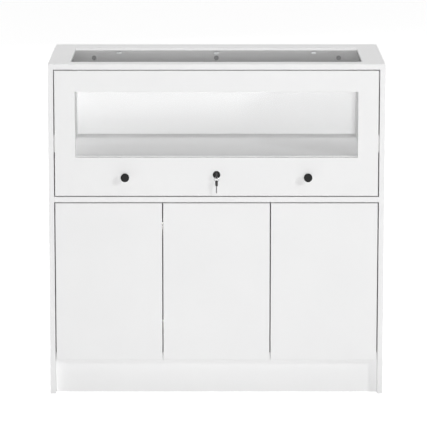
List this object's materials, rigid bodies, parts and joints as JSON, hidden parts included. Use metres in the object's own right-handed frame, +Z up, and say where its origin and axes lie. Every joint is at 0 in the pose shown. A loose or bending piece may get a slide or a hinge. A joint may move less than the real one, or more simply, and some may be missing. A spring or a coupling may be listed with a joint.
{
  "type": "checkout counter",
  "caption": "White panel checkout counter with a glazed, lockable display drawer over hinged cupboards and a glass viewing top.",
  "frame": {"origin": "on the floor, under the middle of the counter's whole outline, knobs and keys included", "axes": "+X to the right as seen from the front, -Y out of the front, +Z up"},
  "size_m": [1, 0.525, 1],
  "materials": {
    "white_board": "white melamine-faced board, satin",
    "top_glass": "clear float glass with a faint grey cast",
    "window_glass": "clear float glass",
    "plated_steel": "zinc-plated, satin",
    "nickel_hinge": "nickel-plated",
    "cast_zinc": "dull die-cast zinc",
    "black_metal": "black powder coat, satin",
    "black_plastic": "moulded, fine grain",
    "bright_ring": "polished",
    "grey_plastic": "moulded, fine grain"
  },
  "bodies": {
    "cabinet": {"side_panel_left": "white_board", "side_panel_right": "white_board", "deck_panel": "white_board", "bottom_panel": "white_board", "toe_kick": "white_board", "back_panel_upper": "white_board", "back_panel_lower": "white_board", "partition_left": "white_board", "partition_right": "white_board", "top_frame": "white_board", "top_glass": "top_glass", "top_glass_clips": "plated_steel", "cam_discs": "cast_zinc", "cam_bolts": "plated_steel", "shelf_left": "white_board", "shelf_middle": "white_board", "shelf_right": "white_board", "shelf_pins": "plated_steel", "slide_packers": "white_board", "slide_cabinet_members": "plated_steel", "hinge_arms": "nickel_hinge", "hinge_plates": "nickel_hinge", "cabinet_screws": "plated_steel", "lock_keeper": "plated_steel", "latch_housings": "grey_plastic"},
    "slide_middle": {"slide_middle_members": "plated_steel"},
    "drawer": {"drawer_front": "white_board", "window_glass": "window_glass", "window_clips": "plated_steel", "drawer_screws": "plated_steel", "drawer_side_left": "white_board", "drawer_side_right": "white_board", "drawer_back": "white_board", "display_floor": "white_board", "slide_drawer_members": "plated_steel", "knobs": "black_metal", "knob_screws": "plated_steel", "lock_body": "black_metal", "lock_nut": "plated_steel"},
    "lock_plug": {"lock_plug": "black_metal", "lock_cam": "plated_steel", "lock_cam_screw": "plated_steel"},
    "key": {"key_blade": "plated_steel", "key_bow": "black_plastic"},
    "key_ring": {"key_ring": "bright_ring"},
    "spare_key": {"spare_key_bow": "black_plastic", "spare_key_blade": "plated_steel"},
    "door_left": {"door_left": "white_board", "door_strike_left": "plated_steel", "hinge_cups_left": "nickel_hinge"},
    "latch_left": {"latch_plunger_left": "grey_plastic"},
    "door_middle": {"door_middle": "white_board", "door_strike_middle": "plated_steel", "hinge_cups_middle": "nickel_hinge"},
    "latch_middle": {"latch_plunger_middle": "grey_plastic"},
    "door_right": {"door_right": "white_board", "door_strike_right": "plated_steel", "hinge_cups_right": "nickel_hinge"},
    "latch_right": {"latch_plunger_right": "grey_plastic"}
  },
  "joints": [
    {"name": "drawer_slide", "type": "slide", "parent": "cabinet", "child": "drawer", "axis": [0, -1, 0], "range_m": [0, 0.35]},
    {"name": "slide_middle_travel", "type": "slide", "parent": "cabinet", "child": "slide_middle", "axis": [0, -1, 0], "range_m": [0, 0.175]},
    {"name": "lock_turn", "type": "hinge", "parent": "drawer", "child": "lock_plug", "pos_m": [0, -0.2375, 0.669], "axis": [0, 1, 0], "range_deg": [0, 90]},
    {"name": "key_pull", "type": "slide", "parent": "lock_plug", "child": "key", "axis": [0, -1, 0], "range_m": [0, 0.024]},
    {"name": "ring_swing", "type": "hinge", "parent": "key", "child": "key_ring", "pos_m": [0, -0.2525, 0.6642], "axis": [-1, 0, 0], "range_deg": [-6, 60]},
    {"name": "spare_key_swing", "type": "hinge", "parent": "key_ring", "child": "spare_key", "pos_m": [0, -0.2525, 0.6502], "axis": [-1, 0, 0], "range_deg": [-6, 60]},
    {"name": "door_left_swing", "type": "hinge", "parent": "cabinet", "child": "door_left", "pos_m": [-0.468, -0.23, 0.3435], "axis": [0, 0, -1], "range_deg": [0, 95]},
    {"name": "latch_left_push", "type": "slide", "parent": "cabinet", "child": "latch_left", "axis": [0, 1, 0], "range_m": [0, 0.003], "stiffness_N_per_m": 300, "springref_m": -0.006},
    {"name": "door_middle_swing", "type": "hinge", "parent": "cabinet", "child": "door_middle", "pos_m": [-0.14633, -0.23, 0.3435], "axis": [0, 0, -1], "range_deg": [0, 95]},
    {"name": "latch_middle_push", "type": "slide", "parent": "cabinet", "child": "latch_middle", "axis": [0, 1, 0], "range_m": [0, 0.003], "stiffness_N_per_m": 300, "springref_m": -0.006},
    {"name": "door_right_swing", "type": "hinge", "parent": "cabinet", "child": "door_right", "pos_m": [0.468, -0.23, 0.3435], "axis": [0, 0, 1], "range_deg": [0, 95]},
    {"name": "latch_right_push", "type": "slide", "parent": "cabinet", "child": "latch_right", "axis": [0, 1, 0], "range_m": [0, 0.003], "stiffness_N_per_m": 300, "springref_m": -0.006}
  ],
  "couplings": [
    {"joint": "slide_middle_travel", "follows": "drawer_slide", "ratio": 0.5}
  ]
}
